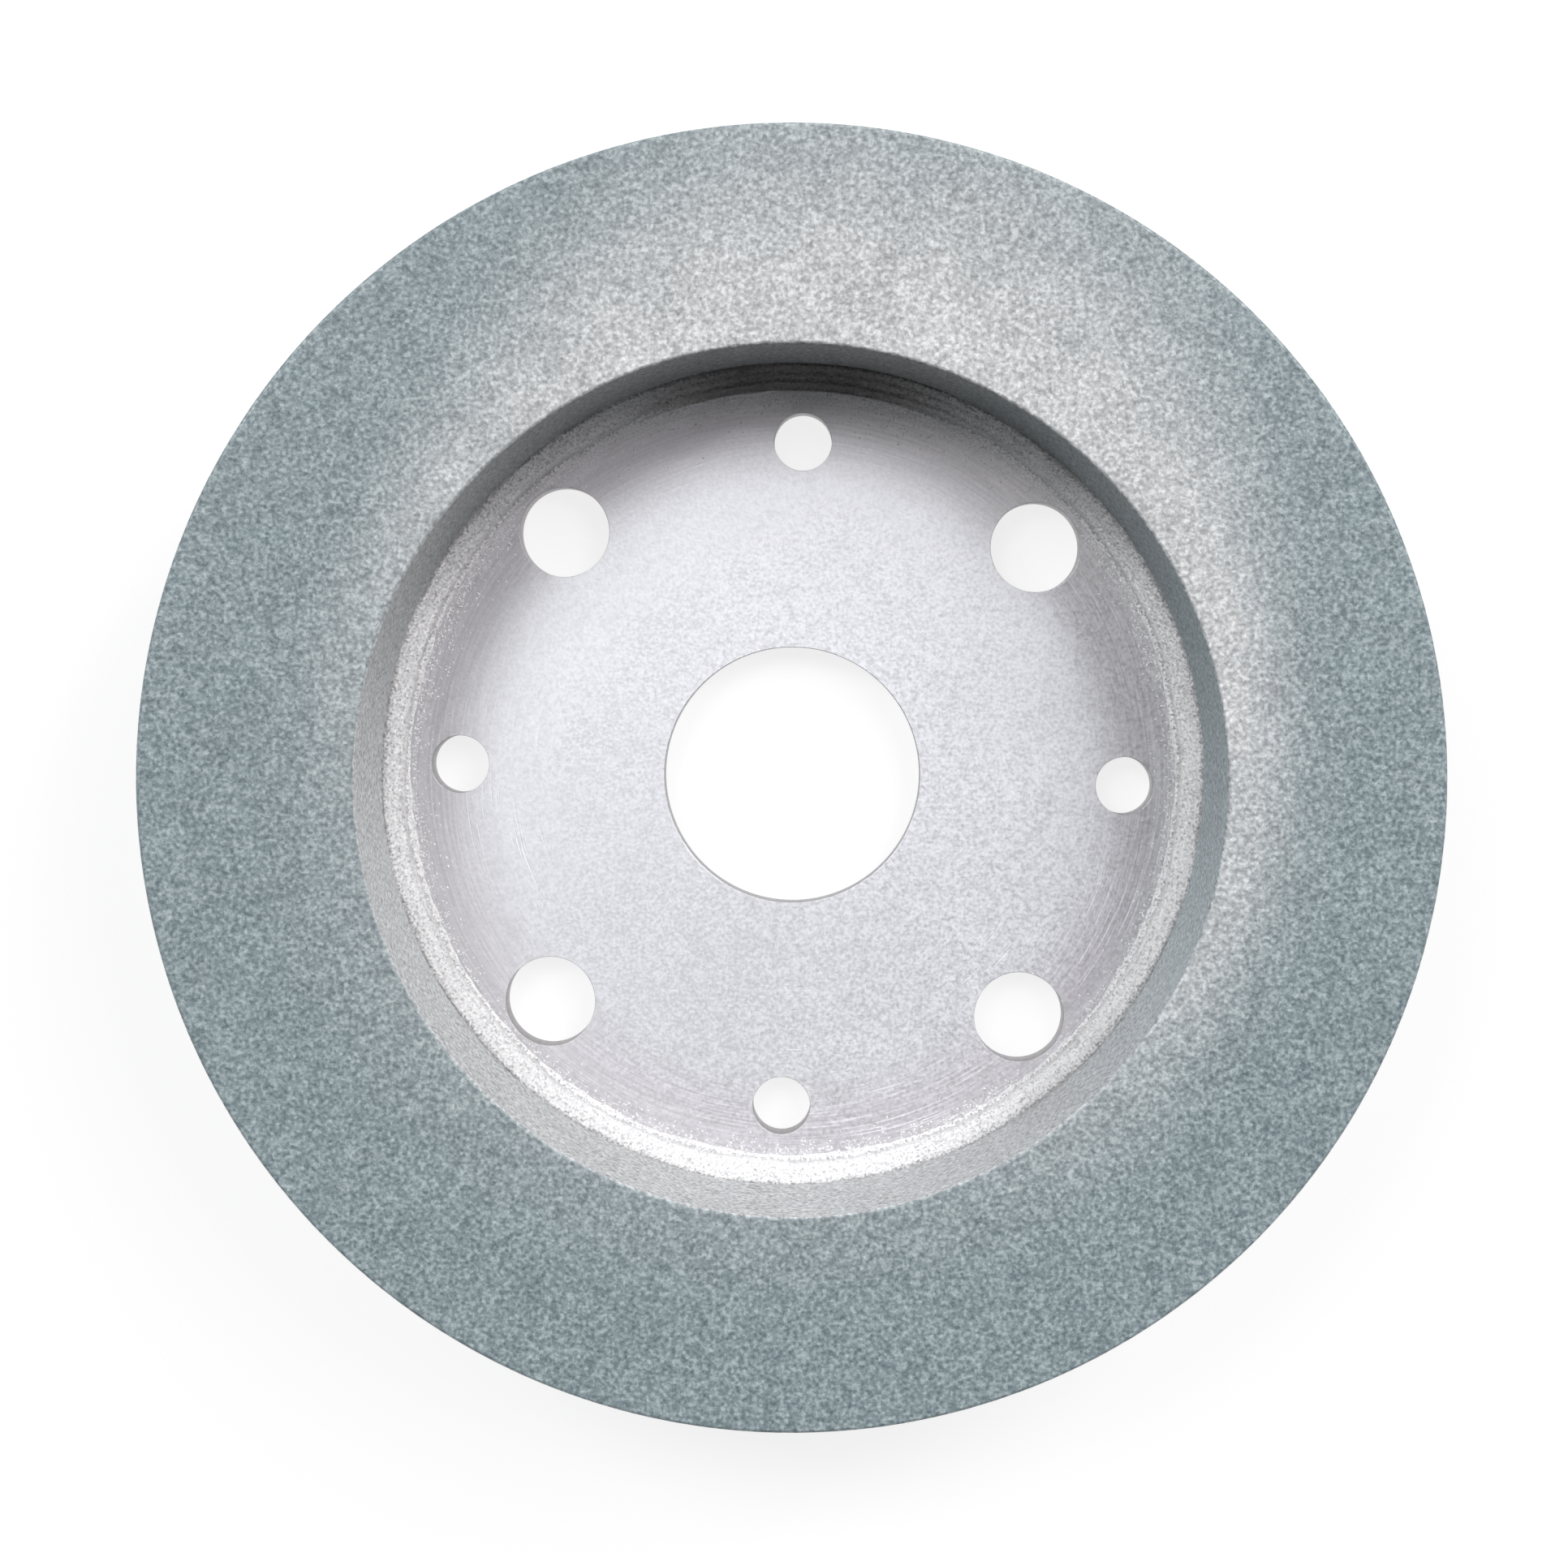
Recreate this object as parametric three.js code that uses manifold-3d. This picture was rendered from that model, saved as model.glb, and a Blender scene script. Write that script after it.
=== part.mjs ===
// Plate-mounted grinding wheel, 6 x 1 x 4 in: a straight ring of bonded green silicon carbide,
// cemented on a drilled steel back plate that bolts to the grinder's flange.
// Millimetres, +Z up. The origin is the centre of the plate's back face, which seats on the
// flange, and +Z runs along the spindle to the grinding face.

import * as THREE from 'three';
import { mergeVertices } from 'three/addons/utils/BufferGeometryUtils.js';
import Module from 'manifold-3d';

const wasm = await Module();
wasm.setup();

// Driving dimensions.
const INCH = 25.4;

const RING_OUTER_R = 3 * INCH;
const RING_INNER_R = 2 * INCH;
const RING_THICKNESS = 1 * INCH;
const RING_CHAMFER = 0.4;

const PLATE_R = (5.75 / 2) * INCH;
const PLATE_THICKNESS = (3 / 16) * INCH;
const PLATE_CHAMFER = 0.5;
const HOLE_CHAMFER = 0.3;

const BORE_R = (1.25 / 2) * INCH;
const BOLT_CIRCLE_R = (3.25 / 2) * INCH;
const SMALL_HOLE_R = (9 / 32 / 2) * INCH;
const LARGE_HOLE_R = (7 / 16 / 2) * INCH;
const HOLES_OF_EACH_SIZE = 4;

const CEMENT_JOINT = 1.0;
const INNER_FILLET_WIDTH = 3.6;
const INNER_FILLET_HEIGHT = 3.6;
const OUTER_FILLET_HEIGHT = 3.2;
const FILLET_TOE = 0.3;
const FILLET_HOLLOW = 0.18;
const FILLET_STEPS = 3;

// Clearance left between two pieces that touch.
const GAP = 0.2;

// Facets round each circle.
const RING_FACETS = 96;
const BORE_FACETS = 64;
const HOLE_FACETS = 28;

// Heights that follow from the stack of plate, cement and ring.
const RING_BACK_Z = PLATE_THICKNESS + CEMENT_JOINT;
const RING_FRONT_Z = RING_BACK_Z + RING_THICKNESS;

const MATERIALS = {
  abrasive: new THREE.MeshStandardMaterial({ color: 0x8fa3a3, roughness: 0.9, metalness: 0 }),
  steel: new THREE.MeshStandardMaterial({ color: 0xc9c7cc, roughness: 0.45, metalness: 0.9 }),
  cement: new THREE.MeshStandardMaterial({ color: 0xbcbcb8, roughness: 0.7, metalness: 0 }),
};

// Turns a closed outline of [radius, height] points round the Z axis.
function revolve(outline, facets) {
  const points = outline.map(([radius, height]) => new THREE.Vector2(radius, height));
  return new THREE.LatheGeometry(points, facets).rotateX(Math.PI / 2);
}

// An outline that closes on itself, for a ring.
function closed(outline) {
  return [...outline, outline[0]];
}

function toSolid(geometry) {
  const bare = geometry.clone();
  bare.deleteAttribute('normal');
  bare.deleteAttribute('uv');
  const merged = mergeVertices(bare);
  return new wasm.Manifold(new wasm.Mesh({
    numProp: 3,
    vertProperties: new Float32Array(merged.attributes.position.array),
    triVerts: new Uint32Array(merged.index.array),
  }));
}

function toGeometry(solid) {
  const mesh = solid.getMesh();
  const geometry = new THREE.BufferGeometry();
  geometry.setAttribute('position', new THREE.BufferAttribute(mesh.vertProperties, 3));
  geometry.setIndex(new THREE.BufferAttribute(mesh.triVerts, 1));
  geometry.computeVertexNormals();
  return geometry;
}

function piece(name, geometry, material) {
  const mesh = new THREE.Mesh(geometry, material);
  mesh.name = name;
  return mesh;
}

// The bonded ring: square in section, with its four sharp corners just broken.
function abrasiveRing() {
  const c = RING_CHAMFER;
  const outline = closed([
    [RING_INNER_R, RING_BACK_Z + c],
    [RING_INNER_R + c, RING_BACK_Z],
    [RING_OUTER_R - c, RING_BACK_Z],
    [RING_OUTER_R, RING_BACK_Z + c],
    [RING_OUTER_R, RING_FRONT_Z - c],
    [RING_OUTER_R - c, RING_FRONT_Z],
    [RING_INNER_R + c, RING_FRONT_Z],
    [RING_INNER_R, RING_FRONT_Z - c],
  ]);
  return piece('abrasive_ring', revolve(outline, RING_FACETS), MATERIALS.abrasive);
}

// A drill with a flare at each end, so that the hole it cuts has both rims chamfered.
function drill(radius, facets) {
  const past = 1;
  const flare = radius + HOLE_CHAMFER + past;
  const outline = [
    [0, -past],
    [flare, -past],
    [radius, HOLE_CHAMFER],
    [radius, PLATE_THICKNESS - HOLE_CHAMFER],
    [flare, PLATE_THICKNESS + past],
    [0, PLATE_THICKNESS + past],
  ];
  return revolve(outline, facets);
}

// Small bolt holes on the X and Y axes, large ones midway between them.
function boltHoles() {
  const step = (2 * Math.PI) / HOLES_OF_EACH_SIZE;
  const holes = [];
  for (let i = 0; i < HOLES_OF_EACH_SIZE; i += 1) {
    for (const [radius, angle] of [[SMALL_HOLE_R, i * step], [LARGE_HOLE_R, (i + 0.5) * step]]) {
      const x = BOLT_CIRCLE_R * Math.cos(angle);
      const y = BOLT_CIRCLE_R * Math.sin(angle);
      holes.push(drill(radius, HOLE_FACETS).translate(x, y, 0));
    }
  }
  return holes;
}

// The steel plate: a flat disc with the arbor bore and the bolt holes drilled through it.
function backingPlate() {
  const c = PLATE_CHAMFER;
  const disc = revolve([
    [0, 0],
    [PLATE_R - c, 0],
    [PLATE_R, c],
    [PLATE_R, PLATE_THICKNESS - c],
    [PLATE_R - c, PLATE_THICKNESS],
    [0, PLATE_THICKNESS],
  ], RING_FACETS);
  const cuts = [drill(BORE_R, BORE_FACETS), ...boltHoles()];
  const drilled = cuts.reduce((solid, cut) => solid.subtract(toSolid(cut)), toSolid(disc));
  return piece('backing_plate', toGeometry(drilled), MATERIALS.steel);
}

// The cement between the plate's front face and the ring's back face.
function cementBed() {
  const inner = RING_INNER_R + GAP;
  const outer = PLATE_R - PLATE_CHAMFER - GAP;
  const low = PLATE_THICKNESS + GAP;
  const high = RING_BACK_Z - GAP;
  const outline = closed([[inner, low], [outer, low], [outer, high], [inner, high]]);
  return piece('cement_bed', revolve(outline, RING_FACETS), MATERIALS.cement);
}

// The hollowed slope of a fillet, from its foot to its top, as [radius, height] points.
function slope(foot, top) {
  const points = [];
  for (let i = 0; i <= FILLET_STEPS; i += 1) {
    const t = i / FILLET_STEPS;
    const sag = FILLET_HOLLOW * Math.sin(Math.PI * t);
    const radius = THREE.MathUtils.lerp(foot[0], top[0], t);
    const height = THREE.MathUtils.lerp(foot[1], top[1], t);
    points.push([radius + sag * (top[0] - foot[0]), height - sag * (top[1] - foot[1])]);
  }
  return points;
}

// The bead of cement in the corner between the plate's front face and the ring's bore.
function innerCementFillet() {
  const back = RING_INNER_R - GAP;
  const floor = PLATE_THICKNESS + GAP;
  const front = RING_INNER_R - INNER_FILLET_WIDTH;
  const peak = PLATE_THICKNESS + INNER_FILLET_HEIGHT;
  const face = slope([front, floor + FILLET_TOE], [back - FILLET_TOE, peak]);
  const outline = closed([[front, floor], [back, floor], [back, peak], ...face.reverse()]);
  return piece('inner_cement_fillet', revolve(outline, RING_FACETS), MATERIALS.cement);
}

// The bead of cement in the corner between the plate's rim and the ring's back face.
function outerCementFillet() {
  const back = PLATE_R + GAP;
  const ceiling = RING_BACK_Z - GAP;
  const front = RING_OUTER_R - RING_CHAMFER - GAP;
  const peak = RING_BACK_Z - OUTER_FILLET_HEIGHT;
  const face = slope([front, ceiling - FILLET_TOE], [back + FILLET_TOE, peak]);
  const outline = closed([[back, ceiling], [back, peak], ...face.reverse(), [front, ceiling]]);
  return piece('outer_cement_fillet', revolve(outline, RING_FACETS), MATERIALS.cement);
}

const wheel = new THREE.Group();
wheel.add(backingPlate());
wheel.add(cementBed());
wheel.add(innerCementFillet());
wheel.add(outerCementFillet());
wheel.add(abrasiveRing());

export default wheel;
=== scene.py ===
"""Looks for a plate-mounted grinding wheel, 6 x 1 x 4 in, lying on the back face of its plate.

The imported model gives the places. Each visible piece is remade here with a finer surface: the
bonded grit, the drilled steel plate, the two beads of cement and the grit left loose by them.
Lengths are in metres, and +Z runs from the plate to the grinding face.
"""

import math

import bpy
import numpy as np
from mathutils import Matrix, Vector
from mathutils.geometry import tessellate_polygon


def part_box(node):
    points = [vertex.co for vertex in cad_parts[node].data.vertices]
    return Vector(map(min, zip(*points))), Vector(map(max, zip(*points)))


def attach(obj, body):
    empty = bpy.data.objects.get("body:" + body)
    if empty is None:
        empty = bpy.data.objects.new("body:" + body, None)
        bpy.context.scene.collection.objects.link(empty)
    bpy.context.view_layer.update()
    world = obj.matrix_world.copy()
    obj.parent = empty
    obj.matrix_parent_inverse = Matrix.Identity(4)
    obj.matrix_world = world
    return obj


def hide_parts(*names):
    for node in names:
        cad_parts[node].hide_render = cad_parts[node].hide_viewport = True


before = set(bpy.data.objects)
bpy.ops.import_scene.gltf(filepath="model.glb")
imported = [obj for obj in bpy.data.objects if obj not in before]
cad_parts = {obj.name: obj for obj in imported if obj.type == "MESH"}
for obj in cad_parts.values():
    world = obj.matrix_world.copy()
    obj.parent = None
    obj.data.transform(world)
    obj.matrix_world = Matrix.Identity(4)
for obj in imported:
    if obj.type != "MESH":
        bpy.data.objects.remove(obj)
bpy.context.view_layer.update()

MM = 0.001
SEED = 7

# The wheel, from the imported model. The bore of the ring is 4/6 of its outside, and the plate's
# bore, bolt circle and holes are 1-1/4, 3-1/4, 9/32 and 7/16 in across.
RING_LOW, RING_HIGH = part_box("abrasive_ring")
PLATE_LOW, PLATE_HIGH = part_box("backing_plate")
RING_OUTER_R = RING_HIGH.x
RING_INNER_R = RING_OUTER_R * 4 / 6
RING_BACK_Z = RING_LOW.z
RING_FRONT_Z = RING_HIGH.z
PLATE_R = PLATE_HIGH.x
PLATE_FRONT_Z = PLATE_HIGH.z
BORE_R = 15.875 * MM
BOLT_CIRCLE_R = 41.275 * MM
SMALL_HOLE_R = 3.572 * MM
LARGE_HOLE_R = 5.556 * MM
BOLT_HOLES = 8

# The bonded grit: the size of a grain and of a facet, and how far the smoothest and the roughest
# facets tip.
GRAIN = 0.49 * MM
FACET = 0.33 * MM
SMOOTH_TILT = 0.06
ROUGH_TILT = 0.32

# The ring's mesh: its outline's steps and rounded edges, and how deep its surface is pitted.
RING_TURNS = 760
RING_FACE_STEP = 0.9 * MM
RING_EDGE_R = 0.3 * MM
RING_EDGE_MARGIN = 0.08 * MM
FACE_RELIEF = 0.012 * MM
EDGE_RELIEF = 0.09 * MM

# The pale dust on the grinding face, which is also a painted sheen: which way it lies heaviest and
# furthest, and how far.
DUST_SHEEN_HEAVY_TURN = math.radians(62)
DUST_SHEEN_REACH_TURN = math.radians(80)
DUST_SHEEN_NEAR = 7 * MM
DUST_SHEEN_FAR = 25 * MM
# How quickly its reach falls off to the sides, and how sharply it ends.
DUST_SHEEN_LOBE = 3.7
DUST_SHEEN_EDGE = 2.2
# The side towards which the bonded grit is painted a little paler, and away from which a little darker:
# painted light and shade.
PAINTED_LIGHT_SIDE_TURN = math.radians(290)
# Which way the dust, with painted light, lies heaviest down the recess's wall, leaving the other side
# darker as painted shade, and which way the wall is green.
WALL_DUST_AND_LIGHT_TURN = math.radians(250)
CLEAN_WALL_TURN = math.radians(12)
# The colours of the dark, middle and pale grit, each at its place on the grain's scale.
GRIT_TONES = (
    (0.25, (0.103, 0.145, 0.160)),
    (0.50, (0.197, 0.253, 0.269)),
    (0.75, (0.348, 0.412, 0.425)),
)
# The grit under the pale dust, paler also as a painted sheen.
DUSTED_AND_SHEEN_TONES = (
    (0.25, (0.330, 0.338, 0.345)),
    (0.50, (0.511, 0.520, 0.527)),
    (0.75, (0.755, 0.767, 0.773)),
)
# The wall's grit under dust, paler also as painted light on its lit side.
WALL_DUST_AND_LIGHT_TONES = (
    (0.25, (0.255, 0.262, 0.266)),
    (0.50, (0.510, 0.524, 0.532)),
    (0.75, (0.755, 0.772, 0.780)),
)
WALL_BARE_TONES = (
    (0.25, (0.112, 0.122, 0.124)),
    (0.50, (0.212, 0.226, 0.229)),
    (0.75, (0.370, 0.390, 0.394)),
)
WALL_GREEN = (0.89, 1.0, 1.03, 1)

# The steel plate: how far its edges are rounded, its mesh's turns and its colours, with a darker,
# pinker painted shade by the bead and a painted shade on the walls of its holes.
PLATE_EDGE_R = 0.5 * MM
HOLE_EDGE_R = 0.06 * MM
PLATE_TURNS = 360
BORE_TURNS = 192
HOLE_TURNS = 96
STEEL_TONES = (
    (0.3, (0.803, 0.820, 0.852)),
    (0.7, (0.833, 0.850, 0.882)),
)
# A darker, pinker painted shade for the steel by the bead.
STEEL_SHADE_BY_BEAD = (0.715, 0.702, 0.731, 1)
# A painted shade for the steel's side walls, in the holes and round its rim.
STEEL_SHADE_IN_HOLES = (0.36, 0.35, 0.36, 1)

# The inner bead of cement: its mesh, its size, how far it is sunk into its neighbours so that no
# gap shows, its lumps, and how far its crystals tip.
BEAD_TURNS = 1500
BEAD_STEPS = 40
BEAD_FOOT_R = 47.3 * MM
BEAD_HEIGHT = 2.8 * MM
BEAD_SINK = 0.08 * MM
BEAD_LUMPS = 0.11 * MM
BEAD_TILT = 0.6
# Each ridge's place and width across the bead, and its height, as parts of the bead's own.
BEAD_RIDGES = (
    (0.08, 0.050, 0.07),
    (0.30, 0.080, 0.12),
    (0.58, 0.100, 0.07),
    (0.80, 0.080, 0.04),
    (0.97, 0.040, -0.08),
)
# How clean the bead is across it, from the foot to the wall: pale on a ridge and grey in a groove, and
# darker at the wall as painted shade in the corner.
BEAD_STRANDS_AND_CORNER_SHADE = (
    (0.00, 0.98),
    (0.14, 1.00),
    (0.21, 0.64),
    (0.28, 0.98),
    (0.58, 1.00),
    (0.68, 0.90),
    (0.80, 0.94),
    (0.97, 0.50),
)
# The bead's own grain, from its dark hollows to its bright crystals.
BEAD_GRAIN = (
    (0.30, (0.48, 0.475, 0.49)),
    (0.47, (0.82, 0.82, 0.83)),
    (0.62, (0.96, 0.96, 0.96)),
)
# Where a dark brown shade is painted on the bead: at the top, where the ring's wall shades it.
PAINTED_SHADE_TURN = math.radians(91)
PAINTED_SHADE_COLOR = (0.10, 0.085, 0.082, 1)

# The outer bead: its mesh, how far it stays inside the ring's edge, and its height and bumps.
OUTER_BEAD_TURNS = 720
OUTER_BEAD_STEPS = 14
OUTER_BEAD_INSET = 0.7 * MM
OUTER_BEAD_HEIGHT = 3.2 * MM
OUTER_BEAD_LUMPS = 0.03 * MM

# The grit left loose on the plate: most of it, and the furthest, lies to one side.
LOOSE_GRAINS = 9000
LOOSE_TURN = math.radians(100)
LOOSE_NEAR = 0.6 * MM
LOOSE_FAR = 1.0 * MM
LOOSE_SMALLEST = 0.07 * MM
LOOSE_LARGEST = 0.19 * MM
LOOSE_SPARSEST = 0.25
# One grain, as a rough eight-sided lump.
GRAIN_CORNERS = ((1, 0, 0), (0, 1, 0), (-1, 0, 0), (0, -1, 0), (0, 0, 0.45), (0, 0, -0.3))
GRAIN_SIDES = ((0, 1, 4), (1, 2, 4), (2, 3, 4), (3, 0, 4), (1, 0, 5), (2, 1, 5), (3, 2, 5), (0, 3, 5))

# Spreads a cell's random colour, so that nearby values give unlike facets.
CELL_SPREAD = 17.3


# ---------------------------------------------------------------- camera, floor and lights

# The camera looks down on the wheel from a little off its axis.
CAMERA_LENS = 74.37
SENSOR_WIDTH = 36.0
CAMERA_DISTANCE = 376.1 * MM
CAMERA_TILT = math.radians(2.04)
CAMERA_PAN = math.radians(-0.65)
CAMERA_ROLL = math.radians(-1.86)
WHEEL_OFF_CENTRE = Vector((0.713 * MM, 0.065 * MM, 0))

FLOOR_SIZE = 8.0
FLOOR_GLOW = 0.82
FLOOR_COLOR = (0.2, 0.2, 0.2, 1)
WHITE = (1, 1, 1, 1)
# The glow of the studio's walls fades into the ceiling's between two heights, each given as the
# sine of its angle above the floor.
BACKDROP_GLOW = 0.85
CEILING_GLOW = 0.03
BACKDROP_TOP = 0.10
CEILING_START = 0.32

# Each softbox: its name, its heading and height as angles seen from the wheel, its distance, the
# side of its square, its watts and its colour.
SOFTBOXES = (
    ("key_left", 138, 60, 2.4, 0.80, 18.0, (1.0, 0.99, 1.0)),
    ("key_top", 112, 64, 2.4, 0.80, 3.6, (1.0, 0.98, 0.95)),
    ("key_right", 38, 56, 2.4, 0.96, 23.6, (1.0, 0.96, 1.0)),
    ("low_left", 146, 36, 2.4, 0.80, 17.5, (0.97, 0.98, 1.0)),
    ("low_right", 45, 35, 2.4, 0.80, 26.0, (1.0, 1.0, 0.97)),
    ("overhead", 231, 80, 1.6, 0.22, 0.80, (1.0, 1.0, 1.0)),
)


def make_camera():
    camera = bpy.data.objects.new("camera", bpy.data.cameras.new("camera"))
    camera.data.lens = CAMERA_LENS
    camera.data.sensor_width = SENSOR_WIDTH
    camera.data.clip_start = 0.01
    camera.data.clip_end = 50
    turn = (
        Matrix.Rotation(CAMERA_TILT, 4, "X")
        @ Matrix.Rotation(CAMERA_PAN, 4, "Y")
        @ Matrix.Rotation(CAMERA_ROLL, 4, "Z")
    )
    to_face = Matrix.Translation((0, 0, -RING_FRONT_Z))
    away = Matrix.Translation(WHEEL_OFF_CENTRE - Vector((0, 0, CAMERA_DISTANCE)))
    camera.matrix_world = (away @ turn @ to_face).inverted()
    bpy.context.collection.objects.link(camera)
    bpy.context.scene.camera = camera


def make_softbox(name, heading, height, distance, side, watts, color):
    """A square softbox that faces the middle of the grinding face."""
    light = bpy.data.lights.new(name, "AREA")
    light.shape = "SQUARE"
    light.size = side
    light.energy = watts
    light.color = color
    level = math.radians(height)
    turn = math.radians(heading)
    aim = Vector((
        math.cos(level) * math.cos(turn),
        math.cos(level) * math.sin(turn),
        math.sin(level),
    ))
    lamp = bpy.data.objects.new(name, light)
    lamp.location = aim * distance + Vector((0, 0, RING_FRONT_Z))
    lamp.rotation_euler = aim.to_track_quat("Z", "Y").to_euler()
    lamp.visible_camera = False
    bpy.context.collection.objects.link(lamp)


def make_floor():
    """A plain pale floor, which glows a little so that it stays pale under soft light."""
    half = FLOOR_SIZE / 2
    corners = [(-half, -half, 0), (half, -half, 0), (half, half, 0), (-half, half, 0)]
    mesh = bpy.data.meshes.new("floor")
    mesh.from_pydata(corners, [], [(0, 1, 2, 3)])
    floor = bpy.data.objects.new("floor", mesh)
    shader = Shader("floor", {
        "Base Color": FLOOR_COLOR,
        "Roughness": 0.9,
        "Specular IOR Level": 0.0,
        "Emission Color": WHITE,
        "Emission Strength": FLOOR_GLOW,
    })
    mesh.materials.append(shader.material)
    bpy.context.collection.objects.link(floor)


def make_world():
    """A studio with pale walls near the floor and a dim ceiling."""
    world = bpy.data.worlds.new("studio")
    world.use_nodes = True
    nodes = world.node_tree.nodes
    links = world.node_tree.links
    place = nodes.new("ShaderNodeTexCoord")
    parts = nodes.new("ShaderNodeSeparateXYZ")
    fade = nodes.new("ShaderNodeMapRange")
    fade.inputs["From Min"].default_value = BACKDROP_TOP
    fade.inputs["From Max"].default_value = CEILING_START
    fade.inputs["To Min"].default_value = BACKDROP_GLOW
    fade.inputs["To Max"].default_value = CEILING_GLOW
    links.new(place.outputs["Generated"], parts.inputs["Vector"])
    links.new(parts.outputs["Z"], fade.inputs["Value"])
    links.new(fade.outputs["Result"], nodes["Background"].inputs["Strength"])
    nodes["Background"].inputs["Color"].default_value = WHITE
    bpy.context.scene.world = world


# ---------------------------------------------------------------- shader nodes


class Shader:
    """A material whose nodes are added with short calls."""

    def __init__(self, name, surface):
        self.material = bpy.data.materials.new(name)
        self.material.use_nodes = True
        self.tree = self.material.node_tree
        self.surface = self.tree.nodes["Principled BSDF"]
        self.fill(self.surface, surface)

    def fill(self, node, inputs):
        """Sets each input, by name or number, to a value, or links it to the output it is given."""
        for socket, value in inputs.items():
            if isinstance(value, bpy.types.NodeSocket):
                self.tree.links.new(value, node.inputs[socket])
            else:
                node.inputs[socket].default_value = value

    def node(self, kind, inputs=None, **settings):
        made = self.tree.nodes.new("ShaderNode" + kind)
        for setting, value in settings.items():
            setattr(made, setting, value)
        self.fill(made, inputs or {})
        return made

    def place(self):
        return self.node("TexCoord").outputs["Object"]

    def vector(self, operation, a, b=None, scale=None, output="Vector"):
        """Vector arithmetic on a, with the vector b or the number scale where it takes one."""
        inputs = {0: a}
        if b is not None:
            inputs[1] = b
        if scale is not None:
            inputs["Scale"] = scale
        return self.node("VectorMath", inputs, operation=operation).outputs[output]

    def flat(self, place):
        """A point's place seen along the wheel's axis."""
        return self.vector("MULTIPLY", place, (1, 1, 0))

    def heading(self, place):
        """Which way a point lies from the wheel's axis, as a vector of length 1."""
        return self.vector("NORMALIZE", self.flat(place))

    def radius(self, place):
        return self.vector("LENGTH", self.flat(place), output="Value")

    def around(self, place, along, across):
        """Coordinates for marks that run round the wheel: their length and their width."""
        turn = self.vector("SCALE", self.heading(place), scale=BOLT_CIRCLE_R / along)
        step = self.math("MULTIPLY", self.radius(place), 1 / across)
        return self.vector("ADD", turn, self.node("CombineXYZ", {"Z": step}).outputs["Vector"])

    def towards(self, place, turn):
        """The cosine of the angle between a point's heading from the axis and a turn about Z."""
        aim = (math.cos(turn), math.sin(turn), 0)
        return self.vector("DOT_PRODUCT", self.heading(place), aim, output="Value")

    def facets(self, cells, tilt):
        """The surface normal, tipped a random way in each cell."""
        spread = self.vector("SCALE", cells.outputs["Color"], scale=CELL_SPREAD)
        luck = self.vector("FRACTION", spread)
        swing = self.vector("SCALE", self.vector("SUBTRACT", luck, (0.5, 0.5, 0.5)), scale=tilt)
        plain = self.node("NewGeometry").outputs["Normal"]
        return self.vector("NORMALIZE", self.vector("ADD", plain, swing))

    def noise(self, place, size, detail=2.0, roughness=0.5):
        inputs = {"Vector": place, "Scale": 1 / size, "Detail": detail, "Roughness": roughness}
        return self.node("TexNoise", inputs).outputs["Fac"]

    def cells(self, place, size):
        """A cell texture: Distance is 0 at a cell's heart, and Color is random by cell."""
        return self.node("TexVoronoi", {"Vector": place, "Scale": 1 / size})

    def ramp(self, factor, stops):
        """A colour ramp from (position, grey or colour) stops."""
        made = self.node("ValToRGB", {"Fac": factor})
        elements = made.color_ramp.elements
        while len(elements) < len(stops):
            elements.new(1.0)
        for element, (position, color) in zip(elements, stops):
            element.position = position
            element.color = (color, color, color, 1) if isinstance(color, float) else (*color, 1)
        return made.outputs["Color"]

    def between(self, value, low, high, new_low, new_high):
        """A value from the range low to high, moved to the range new_low to new_high and kept in it."""
        inputs = {
            "Value": value,
            "From Min": low,
            "From Max": high,
            "To Min": new_low,
            "To Max": new_high,
        }
        return self.node("MapRange", inputs).outputs["Result"]

    def math(self, operation, a, b):
        return self.node("Math", {0: a, 1: b}, operation=operation).outputs["Value"]

    def blend(self, kind, factor, a, b):
        """Mixes two colours. On a Mix node, inputs 6 and 7 and output 2 are the ones for colour."""
        inputs = {0: factor, 6: a, 7: b}
        return self.node("Mix", inputs, data_type="RGBA", blend_type=kind).outputs[2]

    def channel(self, color, name):
        return self.node("SeparateColor", {"Color": color}).outputs[name]

    def bump(self, height, depth, strength=1.0, below=None):
        inputs = {"Height": height, "Distance": depth, "Strength": strength}
        if below is not None:
            inputs["Normal"] = below
        return self.node("Bump", inputs).outputs["Normal"]


# ---------------------------------------------------------------- materials


def dust_and_sheen_film(shader, place):
    """How thick the pale coat lies on the grinding face, from 0 to 1: part dust and part painted sheen.

    It thins out from the edge of the recess, and lies thicker and further out on one side, where it
    paints the sheen.
    """
    radius = shader.radius(place)
    past_edge = shader.math("MAXIMUM", shader.math("SUBTRACT", radius, RING_INNER_R), 0.0)
    side = shader.between(shader.towards(place, DUST_SHEEN_REACH_TURN), 0.0, 1.0, 0.0, 1.0)
    reach = shader.between(shader.math("POWER", side, DUST_SHEEN_LOBE), 0.0, 1.0, DUST_SHEEN_NEAR, DUST_SHEEN_FAR)
    share = shader.math("POWER", shader.math("DIVIDE", past_edge, reach), DUST_SHEEN_EDGE)
    fade = shader.math("POWER", math.e, shader.math("MULTIPLY", share, -1.0))
    heavy = shader.between(shader.towards(place, DUST_SHEEN_HEAVY_TURN), -0.6, 0.7, 0.15, 0.94)
    patchy = shader.between(shader.noise(place, 7 * MM, 4.0), 0.3, 0.7, 0.85, 1.15)
    return shader.math("MULTIPLY", shader.math("MULTIPLY", fade, heavy), patchy)


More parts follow.
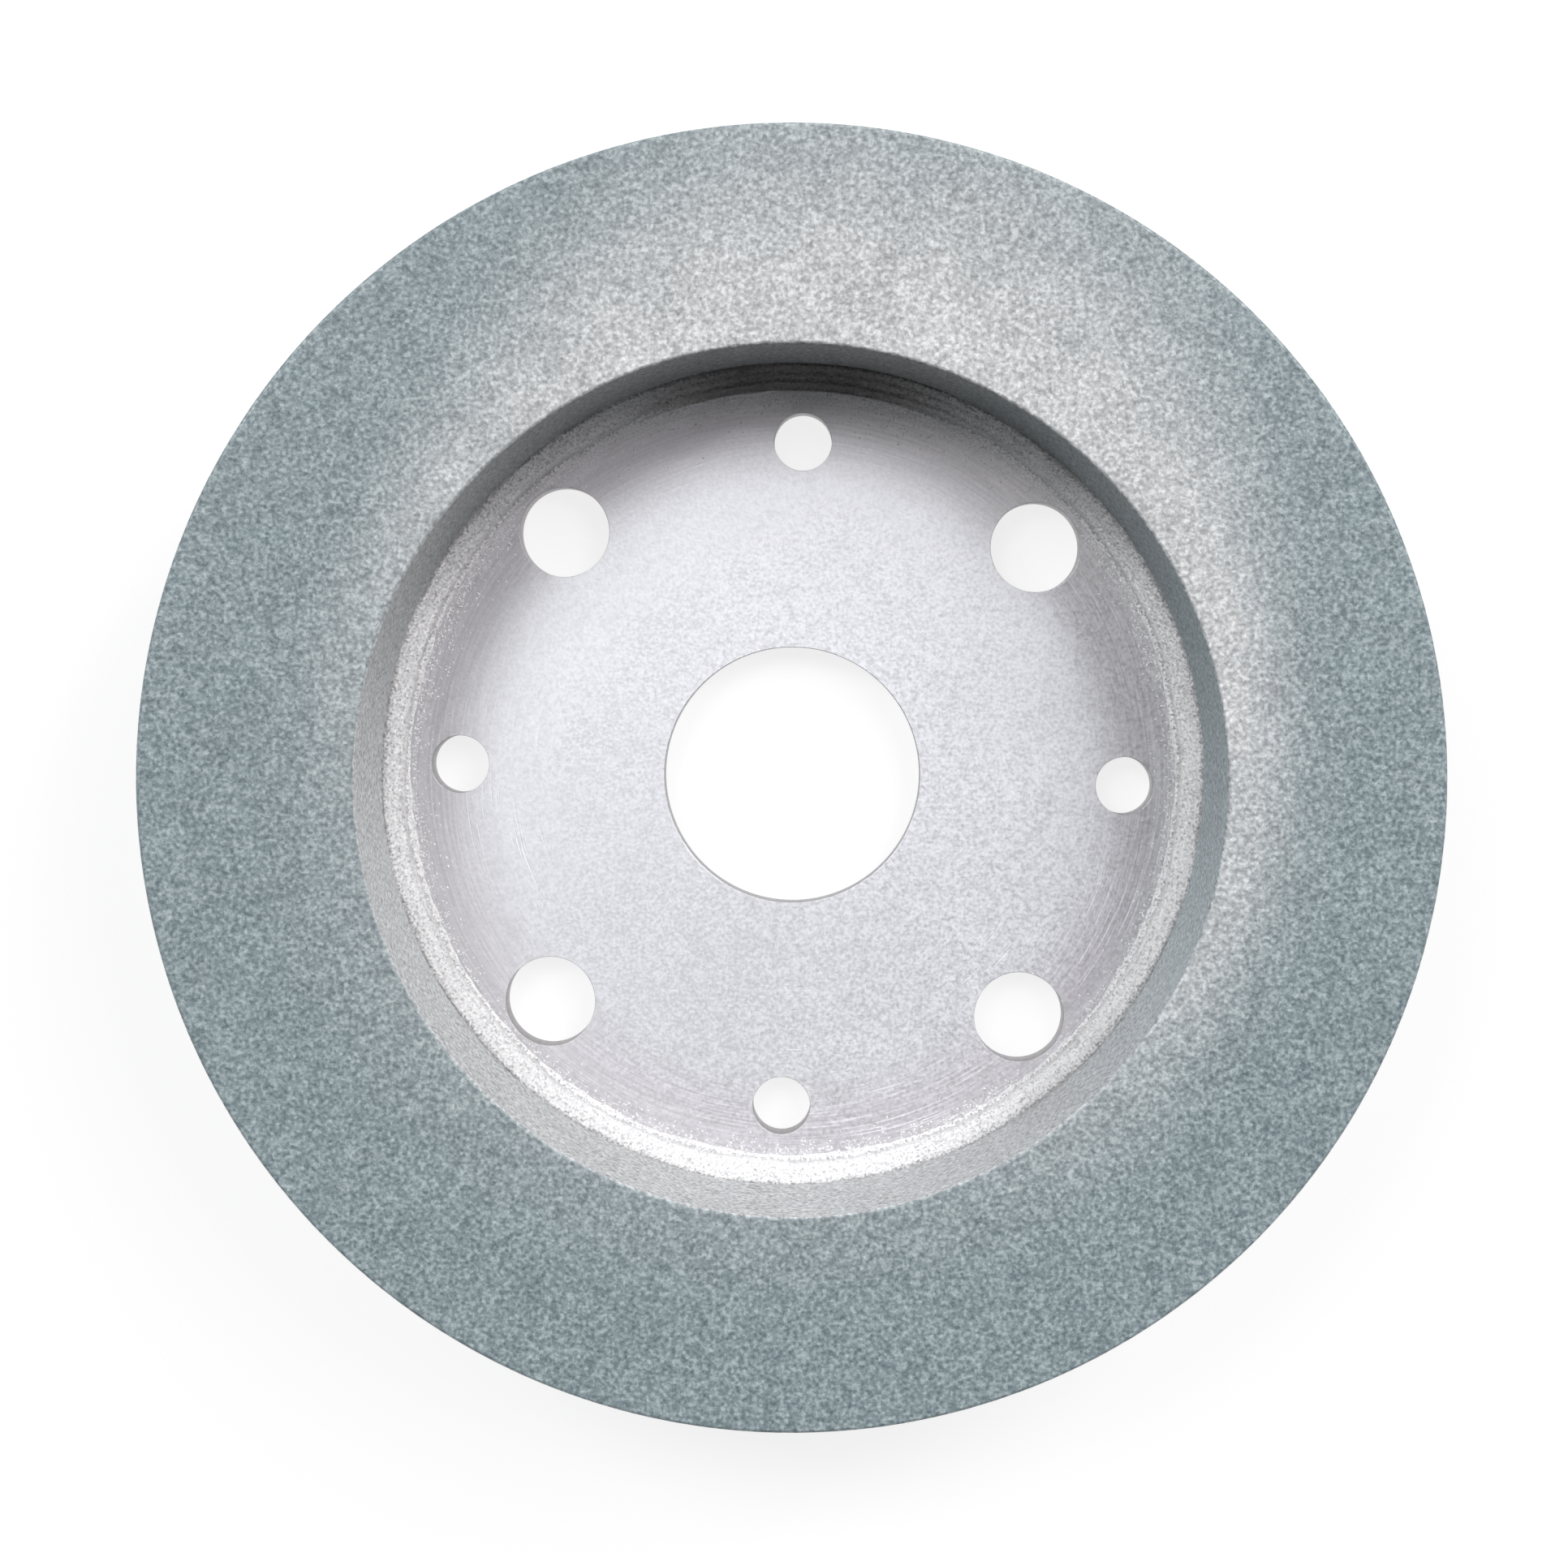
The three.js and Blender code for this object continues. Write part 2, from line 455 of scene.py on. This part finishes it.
def recess_wall(shader, place, luck):
    """The colour of the recess's wall: pale with dust and painted light on one side, bare and darker as
    painted shade on the other, and green in between.
    """
    dusty_and_lit = shader.ramp(luck, WALL_DUST_AND_LIGHT_TONES)
    bare = shader.ramp(luck, WALL_BARE_TONES)
    # Dust and painted light on one side, painted shade on the other.
    dust_and_painted_light = shader.between(shader.towards(place, WALL_DUST_AND_LIGHT_TURN), -1.0, 0.4, 0.15, 1.0)
    color = shader.blend("MIX", dust_and_painted_light, bare, dusty_and_lit)
    clean = shader.between(shader.towards(place, CLEAN_WALL_TURN), 0.5, 1.0, 0.0, 1.0)
    return shader.blend("MULTIPLY", clean, color, WALL_GREEN)


def grinding_face(shader, place, luck):
    """The colour of the grit on the outside: green, cloudy, painted a little paler on one side and
    darker on the other, and pale by the recess with dust and a painted sheen.
    """
    bare = shader.ramp(luck, GRIT_TONES)
    dust_and_sheen = shader.ramp(luck, DUSTED_AND_SHEEN_TONES)
    # Pale dust by the recess, which also paints a sheen.
    color = shader.blend("MIX", dust_and_sheen_film(shader, place), bare, dust_and_sheen)
    clouds = shader.between(shader.noise(place, 6 * MM), 0.3, 0.7, 0.95, 1.05)
    color = shader.blend("MULTIPLY", 1.0, color, clouds)
    # Painted light and shade: a little paler towards one side and darker towards the other.
    painted_side_light = shader.between(shader.towards(place, PAINTED_LIGHT_SIDE_TURN), -1.0, 1.0, 0.95, 1.05)
    return shader.blend("MULTIPLY", 1.0, color, painted_side_light)


def abrasive_material():
    """Green silicon carbide in a glassy bond, with pale dust and a painted sheen by the recess, and
    down its wall pale dust with painted light on one side and painted shade on the other.
    """
    shader = Shader("abrasive_grit", {"IOR": 1.6})
    place = shader.place()
    grain = shader.noise(place, GRAIN, 1.0)
    facets = shader.cells(place, FACET)
    flecks = shader.between(shader.channel(facets.outputs["Color"], "Red"), 0, 1, -0.06, 0.06)
    luck = shader.math("ADD", grain, flecks)
    wall_end = RING_INNER_R + 0.2 * MM
    wall = shader.between(shader.radius(place), RING_INNER_R + 0.05 * MM, wall_end, 1.0, 0.0)
    face_color = grinding_face(shader, place, luck)
    color = shader.blend("MIX", wall, face_color, recess_wall(shader, place, luck))
    dressed = shader.channel(facets.outputs["Color"], "Green")
    rough = shader.between(dressed, 0.2, 0.8, 0.30, 0.55)
    rough = shader.math("MAXIMUM", rough, shader.math("MULTIPLY", wall, 0.8))
    tilt = shader.between(dressed, 0.2, 0.8, SMOOTH_TILT, ROUGH_TILT)
    normal = shader.bump(luck, 0.12 * MM, 0.45, shader.facets(facets, tilt))
    shader.fill(shader.surface, {"Base Color": color, "Roughness": rough, "Normal": normal})
    return shader.material


def steel_material():
    """Pale satin steel, with a darker, pinker painted shade by the bead and painted shade in the holes,
    and fine arcs left by wiping.
    """
    shader = Shader("satin_steel", {"Metallic": 1.0})
    place = shader.place()
    grain = shader.noise(place, 0.42 * MM, 1.5, 0.6)
    patches = shader.noise(place, 14 * MM, 3.0)
    middle = shader.ramp(patches, STEEL_TONES)
    radius = shader.radius(place)
    # Painted shade: darker and pinker towards the bead, where the ring's wall shades the plate.
    rim = shader.between(radius, 36 * MM, 44 * MM, 0.0, 1.0)
    color = shader.blend("MIX", rim, middle, STEEL_SHADE_BY_BEAD)
    color = shader.blend("MULTIPLY", 1.0, color, shader.between(grain, 0.3, 0.7, 0.92, 1.05))
    # Painted shade on every side wall of the steel: the walls of the holes and the plate's outer rim.
    facing = shader.node("NewGeometry").outputs["Normal"]
    upward = shader.node("SeparateXYZ", {"Vector": facing}).outputs["Z"]
    edge = shader.between(shader.math("ABSOLUTE", upward, 0.0), 0.6, 0.99, 1.0, 0.0)
    color = shader.blend("MIX", edge, color, STEEL_SHADE_IN_HOLES)
    strokes = shader.noise(shader.around(place, 9 * MM, 0.22 * MM), 1.0, 1.0)
    lines = shader.between(strokes, 0.60, 0.72, 0.0, 1.0)
    streaks = shader.between(strokes, 0.35, 0.65, 0.90, 1.04)
    color = shader.blend("MULTIPLY", rim, color, streaks)
    wiped = shader.between(shader.noise(place, 16 * MM, 1.0), 0.50, 0.62, 0.0, 1.0)
    wiped = shader.math("MULTIPLY", wiped, shader.between(radius, 24 * MM, 34 * MM, 0.15, 1.0))
    scratches = shader.math("MULTIPLY", lines, wiped)
    rough = shader.between(grain, 0.3, 0.7, 0.36, 0.54)
    rough = shader.math("ADD", rough, shader.math("MULTIPLY", scratches, 0.10))
    height = shader.math("SUBTRACT", grain, shader.math("MULTIPLY", scratches, 0.8))
    normal = shader.bump(height, 0.028 * MM, 0.5)
    shader.fill(shader.surface, {"Base Color": color, "Roughness": rough, "Normal": normal})
    return shader.material


def bead_material():
    """Set cement full of bright grit, drawn into strands by a scraper."""
    shader = Shader("gritty_bead", {"IOR": 1.6})
    place = shader.place()
    grain = shader.noise(place, 0.34 * MM, 2.0, 0.6)
    color = shader.ramp(grain, BEAD_GRAIN)
    drift = shader.noise(shader.around(place, 9 * MM, 4 * MM), 1.0, 3.0)
    wander = shader.between(drift, 0.3, 0.7, -0.07, 0.07)
    across = shader.between(shader.radius(place), BEAD_FOOT_R, RING_INNER_R, 0.0, 1.0)
    ragged = shader.between(grain, 0.3, 0.7, 0.08, -0.08)
    # Strands, with painted shade where the bead meets the wall.
    strand_and_corner_shade = shader.ramp(shader.math("ADD", shader.math("ADD", across, wander), ragged), BEAD_STRANDS_AND_CORNER_SHADE)
    color = shader.blend("MULTIPLY", 1.0, color, strand_and_corner_shade)
    fine = shader.noise(shader.around(place, 8 * MM, 0.3 * MM), 1.0, 2.0)
    # Painted shade: dark brown at the top of the bead, in the shadow of the ring's wall.
    painted_shade = shader.between(shader.towards(place, PAINTED_SHADE_TURN), 0.90, 0.99, 0.0, 0.8)
    painted_shade = shader.math("MULTIPLY", painted_shade, shader.between(across, 0.0, 0.1, 0.0, 1.0))
    color = shader.blend("MIX", painted_shade, color, PAINTED_SHADE_COLOR)
    color = shader.blend("MULTIPLY", 1.0, color, shader.between(fine, 0.35, 0.6, 0.93, 1.0))
    facets = shader.cells(place, 0.26 * MM)
    rough = shader.between(shader.channel(facets.outputs["Color"], "Green"), 0.0, 1.0, 0.35, 0.7)
    normal = shader.bump(grain, 0.20 * MM, 0.7, shader.facets(facets, BEAD_TILT))
    shader.fill(shader.surface, {"Base Color": color, "Roughness": rough, "Normal": normal})
    return shader.material


def cement_material():
    """Plain set cement, dull grey."""
    shader = Shader("dull_cement", {"Roughness": 0.75})
    place = shader.place()
    grain = shader.noise(place, 0.6 * MM, 4.0, 0.65)
    color = shader.ramp(grain, [(0.3, (0.33, 0.33, 0.32)), (0.7, (0.46, 0.455, 0.44))])
    normal = shader.bump(grain, 0.08 * MM, 0.6)
    shader.fill(shader.surface, {"Base Color": color, "Normal": normal})
    return shader.material


# ---------------------------------------------------------------- mesh helpers


def new_mesh(name, vertices, faces):
    mesh = bpy.data.meshes.new(name)
    mesh.from_pydata(vertices.tolist(), [], faces.tolist())
    mesh.validate()
    mesh.polygons.foreach_set("use_smooth", [True] * len(mesh.polygons))
    return mesh


def add_piece(name, mesh, material, replaced=()):
    mesh.materials.append(material)
    piece = bpy.data.objects.new(name, mesh)
    bpy.context.collection.objects.link(piece)
    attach(piece, "root")
    if replaced:
        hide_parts(*replaced)
    return piece


def even_points(corners, step):
    """Points along a line of (radius, height) corners, about a step apart, without the last."""
    points = []
    for start, end in zip(corners, corners[1:]):
        count = max(1, round(float(np.hypot(*(end - start))) / step))
        for k in range(count):
            points.append(start + (end - start) * k / count)
    return points


def arc(centre, radius, first, last, count):
    """Points on an arc, with its angles in degrees."""
    angles = np.radians(np.linspace(first, last, count))
    return [np.array(centre) + radius * np.array((math.cos(a), math.sin(a))) for a in angles]


def turned(name, radius, height):
    """A closed ring: row i of radius and height is its outline at turn i."""
    turns, steps = radius.shape
    angle = (np.arange(turns) * 2 * math.pi / turns)[:, None]
    corners = np.stack([radius * np.cos(angle), radius * np.sin(angle), height], axis=2)
    i, j = np.meshgrid(np.arange(turns), np.arange(steps), indexing="ij")
    next_i, next_j = (i + 1) % turns, (j + 1) % steps
    quads = [i * steps + j, next_i * steps + j, next_i * steps + next_j, i * steps + next_j]
    return new_mesh(name, corners.reshape(-1, 3), np.stack(quads, axis=2).reshape(-1, 4))


def wandering(rng, turns, knots):
    """A closed random line round the wheel, from -1 to 1, with a number of evenly spaced knots."""
    heights = rng.uniform(-1, 1, knots)
    at = np.arange(turns) * knots / turns
    return np.interp(at, np.arange(knots + 1), np.append(heights, heights[0]))


# ---------------------------------------------------------------- the abrasive ring


def ring_outline():
    """The ring's section, with rounded corners, and how deep it is pitted at each point.

    Each flat starts and ends with a point close to its corner, so that the shading stays flat.
    """
    r = RING_EDGE_R
    corners = (
        ((RING_OUTER_R - r, RING_BACK_Z + r), 270),
        ((RING_OUTER_R - r, RING_FRONT_Z - r), 0),
        ((RING_INNER_R + r, RING_FRONT_Z - r), 90),
        ((RING_INNER_R + r, RING_BACK_Z + r), 180),
    )
    points, rough = [], []
    for index, (centre, first) in enumerate(corners):
        bend = arc(centre, r, first, first + 90, 4)
        next_centre, next_first = corners[(index + 1) % len(corners)]
        straight_end = arc(next_centre, r, next_first, next_first, 1)[0]
        along = straight_end - bend[-1]
        margin = along / np.linalg.norm(along) * RING_EDGE_MARGIN
        flat = even_points([bend[-1] + margin, straight_end - margin], RING_FACE_STEP)
        points += bend + flat + [straight_end - margin]
        rough += [FACE_RELIEF] + [EDGE_RELIEF] * (len(bend) - 2) + [FACE_RELIEF] * (len(flat) + 2)
    return np.array(points), np.array(rough)


def abrasive_ring(material):
    rng = np.random.default_rng(SEED)
    outline, rough = ring_outline()
    shape = (RING_TURNS, len(outline))
    middle = np.array(((RING_OUTER_R + RING_INNER_R) / 2, (RING_FRONT_Z + RING_BACK_Z) / 2))
    inward = np.sign(middle - outline)
    push = rng.uniform(0, 1, shape) * rough
    radius = outline[:, 0] + inward[:, 0] * push
    height = outline[:, 1] + inward[:, 1] * push
    mesh = turned("abrasive_ring_grit", radius, height)
    return add_piece("abrasive_ring_grit", mesh, material, ["abrasive_ring"])


# ---------------------------------------------------------------- the steel plate


def rim_section(edge):
    """How far each row of a rim is set back into the metal, and its height, from back to front."""
    back = arc((edge, edge), edge, 270, 180, 4)
    front = arc((edge, PLATE_FRONT_Z - edge), edge, 180, 90, 4)
    return back + front


def rim(centre, radius, turns, edge, hole):
    """Rows of points round a rim. A hole's rows run clockwise, so the metal stays on the left."""
    way = -1 if hole else 1
    angle = way * np.arange(turns) * 2 * math.pi / turns
    rows = []
    for inset, height in rim_section(edge):
        reach = radius - way * inset
        rows.append(np.stack([
            centre[0] + reach * np.cos(angle),
            centre[1] + reach * np.sin(angle),
            np.full(turns, height),
        ], axis=1))
    return rows


def holes():
    """The plate's bore and bolt holes, as (x, y, radius). Small and large bolt holes alternate."""
    found = [(0.0, 0.0, BORE_R)]
    for k in range(BOLT_HOLES):
        turn = k * 2 * math.pi / BOLT_HOLES
        radius = LARGE_HOLE_R if k % 2 else SMALL_HOLE_R
        found.append((BOLT_CIRCLE_R * math.cos(turn), BOLT_CIRCLE_R * math.sin(turn), radius))
    return found


def plate_rims():
    rims = [rim((0, 0), PLATE_R, PLATE_TURNS, PLATE_EDGE_R, False)]
    for x, y, radius in holes():
        turns = BORE_TURNS if radius == BORE_R else HOLE_TURNS
        rims.append(rim((x, y), radius, turns, HOLE_EDGE_R, True))
    return rims


def cap(loops, starts, up):
    """Triangles across the plate between its rims, facing up or down."""
    flat = [Vector(point) for loop in loops for point in loop]
    index = [start + k for loop, start in zip(loops, starts) for k in range(len(loop))]
    faces = []
    for a, b, c in tessellate_polygon([[Vector(p) for p in loop] for loop in loops]):
        faces_up = (flat[b] - flat[a]).cross(flat[c] - flat[a]).z > 0
        corners = (a, b, c) if faces_up == up else (a, c, b)
        faces.append(tuple(index[k] for k in corners))
    return faces


def backing_plate(material):
    vertices, faces = [], []
    backs, fronts, back_starts, front_starts = [], [], [], []
    for rows in plate_rims():
        turns = len(rows[0])
        base = len(vertices)
        for row in rows:
            vertices.extend(row.tolist())
        for j in range(len(rows) - 1):
            for k in range(turns):
                low = base + j * turns + k
                next_low = base + j * turns + (k + 1) % turns
                faces.append((low, next_low, next_low + turns, low + turns))
        backs.append(rows[0])
        fronts.append(rows[-1])
        back_starts.append(base)
        front_starts.append(base + (len(rows) - 1) * turns)
    faces += cap(backs, back_starts, False) + cap(fronts, front_starts, True)
    mesh = bpy.data.meshes.new("plate_steel")
    mesh.from_pydata(vertices, [], faces)
    mesh.validate()
    mesh.polygons.foreach_set("use_smooth", [len(face) == 4 for face in faces])
    return add_piece("plate_steel", mesh, material, ["backing_plate"])


# ---------------------------------------------------------------- the cement beads


def ridges(rng, across):
    """How high the bead stands, from 0 at its foot to 1 at the wall, with a scraper's ridges."""
    rise = across ** 1.1 * np.ones((BEAD_TURNS, 1))
    for middle, width, size in BEAD_RIDGES:
        place = middle + 0.025 * wandering(rng, BEAD_TURNS, 46)[:, None]
        height = size * (1 + 0.35 * wandering(rng, BEAD_TURNS, 130))[:, None]
        rise = rise + height * np.exp(-((across - place) / width) ** 2)
    return rise


def inner_bead(material):
    """The rough bead between the plate and the ring's bore, ragged along its foot and its top."""
    rng = np.random.default_rng(SEED + 1)
    across = np.linspace(0, 1, BEAD_STEPS)[None, :]
    wall = RING_INNER_R + BEAD_SINK
    floor = PLATE_FRONT_Z - BEAD_SINK
    ragged = 0.12 * MM * wandering(rng, BEAD_TURNS, 300)
    ragged = ragged + 0.15 * MM * wandering(rng, BEAD_TURNS, 60)
    foot = (BEAD_FOOT_R + ragged)[:, None]
    top = (PLATE_FRONT_Z + BEAD_HEIGHT + 0.15 * MM * wandering(rng, BEAD_TURNS, 220))[:, None]
    radius = foot + (wall - foot) * across
    # It starts under the plate's face and rises out of it in the first twelfth of its width.
    height = floor + (top - floor) * ridges(rng, across) * np.minimum(1, across * 12)
    lumps = rng.uniform(-1, 1, radius.shape) * BEAD_LUMPS * np.sin(math.pi * across)
    radius = np.concatenate([np.full((BEAD_TURNS, 1), wall), (radius - lumps * 0.6)[:, ::-1]], axis=1)
    height = np.concatenate([np.full((BEAD_TURNS, 1), floor), (height + lumps)[:, ::-1]], axis=1)
    mesh = turned("inner_bead", radius, height)
    return add_piece("inner_bead", mesh, material, ["inner_cement_fillet"])


def outer_bead(material):
    """The smoother bead under the ring's overhang, against the plate's rim."""
    rng = np.random.default_rng(SEED + 2)
    turns = OUTER_BEAD_TURNS
    t = np.linspace(0, 1, OUTER_BEAD_STEPS)
    wall = PLATE_R - BEAD_SINK
    ceiling = RING_BACK_Z + BEAD_SINK
    edge = (RING_OUTER_R - OUTER_BEAD_INSET + 0.12 * MM * wandering(rng, turns, 90))[:, None]
    foot = (RING_BACK_Z - OUTER_BEAD_HEIGHT + 0.2 * MM * wandering(rng, turns, 80))[:, None]
    radius = wall + (edge - wall) * t ** 1.6
    height = foot + (ceiling - foot) * t ** 0.62
    height = height + rng.uniform(-1, 1, height.shape) * OUTER_BEAD_LUMPS * np.sin(math.pi * t)
    radius = np.concatenate([radius, np.full((turns, 1), wall)], axis=1)
    height = np.concatenate([height, np.full((turns, 1), ceiling)], axis=1)
    mesh = turned("outer_bead", radius, height)
    return add_piece("outer_bead", mesh, material, ["outer_cement_fillet"])


# ---------------------------------------------------------------- the loose grit


def over_a_hole(x, y, margin):
    for hole_x, hole_y, radius in holes():
        if math.hypot(x - hole_x, y - hole_y) < radius + margin:
            return True
    return False


def loose_grit(material):
    """Grains that stuck to the plate beside the inner bead, thinning out towards the middle."""
    rng = np.random.default_rng(SEED + 3)
    angle = rng.uniform(0, 2 * math.pi, LOOSE_GRAINS)
    near_side = (0.5 + 0.5 * np.cos(angle - LOOSE_TURN)) ** 2
    spread = LOOSE_NEAR + (LOOSE_FAR - LOOSE_NEAR) * near_side
    reach = BEAD_FOOT_R - rng.exponential(1, LOOSE_GRAINS) * spread
    kept = rng.uniform(0, 1, LOOSE_GRAINS) < LOOSE_SPARSEST + (1 - LOOSE_SPARSEST) * near_side
    size = rng.uniform(LOOSE_SMALLEST, LOOSE_LARGEST, LOOSE_GRAINS)
    vertices, faces = [], []
    for k in range(LOOSE_GRAINS):
        shape = np.array(GRAIN_CORNERS) * rng.uniform(0.6, 1.3, (len(GRAIN_CORNERS), 3)) * size[k]
        x = reach[k] * math.cos(angle[k])
        y = reach[k] * math.sin(angle[k])
        if not kept[k] or reach[k] < BORE_R or over_a_hole(x, y, HOLE_EDGE_R + size[k]):
            continue
        base = len(vertices)
        vertices.extend((shape + np.array((x, y, PLATE_FRONT_Z))).tolist())
        for side in GRAIN_SIDES:
            faces.append(tuple(base + corner for corner in side))
    mesh = bpy.data.meshes.new("loose_grit")
    mesh.from_pydata(vertices, [], faces)
    return add_piece("loose_grit", mesh, material)


# ---------------------------------------------------------------- the scene


def main():
    bpy.context.scene.view_settings.view_transform = "Standard"
    make_camera()
    make_world()
    make_floor()
    for softbox in SOFTBOXES:
        make_softbox(*softbox)
    cement = cement_material()
    bead = bead_material()
    abrasive_ring(abrasive_material())
    backing_plate(steel_material())
    inner_bead(bead)
    outer_bead(cement)
    loose_grit(bead)
    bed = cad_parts["cement_bed"]
    bed.data.materials.clear()
    bed.data.materials.append(cement)


main()
